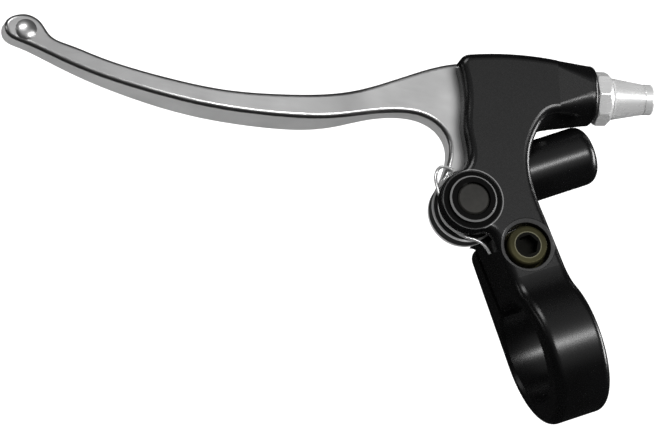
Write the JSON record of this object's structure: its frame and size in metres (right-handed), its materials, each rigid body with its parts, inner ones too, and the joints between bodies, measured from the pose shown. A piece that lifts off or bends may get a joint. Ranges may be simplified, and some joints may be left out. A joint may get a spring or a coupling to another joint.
{
  "type": "bicycle brake lever",
  "caption": "Hand brake lever with a bow-ended blade on a sprung pivot in a black bracket with a split handlebar band, hooded cable arm and tapered cable adjuster.",
  "frame": {"origin": "centre of the handlebar bore, half way along the band", "axes": "+X along the handlebar towards its middle, +Y forward from the bar to the lever, +Z along the lever's pivot, up in use"},
  "size_m": [0.1293, 0.1183, 0.0302],
  "materials": {
    "bracket_paint": "satin black paint on cast aluminium",
    "lever_metal": "polished cast aluminium",
    "bush_bronze": "plain sintered bronze",
    "pin_steel": "dark oxide",
    "bush_black": "moulded, slight sheen",
    "washer_plastic": "plain",
    "clip_steel": "dark oxide",
    "spring_steel": "bright drawn wire",
    "bolt_zinc": "olive zinc plating",
    "adjuster_metal": "bright turned aluminium"
  },
  "bodies": {
    "bracket": {"bracket": "bracket_paint", "pivot_pin": "pin_steel", "upper_bush": "bush_black", "lower_bush": "bush_black", "thrust_washer": "washer_plastic", "retaining_clip": "clip_steel", "return_spring": "spring_steel", "clamp_bolt": "bolt_zinc", "clamp_washer": "bolt_zinc"},
    "lever": {"lever": "lever_metal", "lever_bush": "bush_bronze"},
    "adjuster": {"adjuster_barrel": "adjuster_metal"},
    "lock_nut": {"adjuster_nut": "adjuster_metal"}
  },
  "joints": [
    {"name": "lever_pull", "type": "hinge", "parent": "bracket", "child": "lever", "pos_m": [-0.0076, 0.0327, 0.003], "axis": [0, 0, 1], "range_deg": [0, 32], "stiffness_Nm_per_rad": 0.15, "springref_deg": -28.65, "deforming": ["return_spring"]},
    {"name": "adjuster_travel", "type": "slide", "parent": "bracket", "child": "adjuster", "axis": [0.9449, -0.3272, 0], "range_m": [0, 0.005]},
    {"name": "lock_nut_turn", "type": "hinge", "parent": "bracket", "child": "lock_nut", "pos_m": [0.0282, 0.047, 0.003], "axis": [0.9449, -0.3272, 0], "continuous": true}
  ]
}
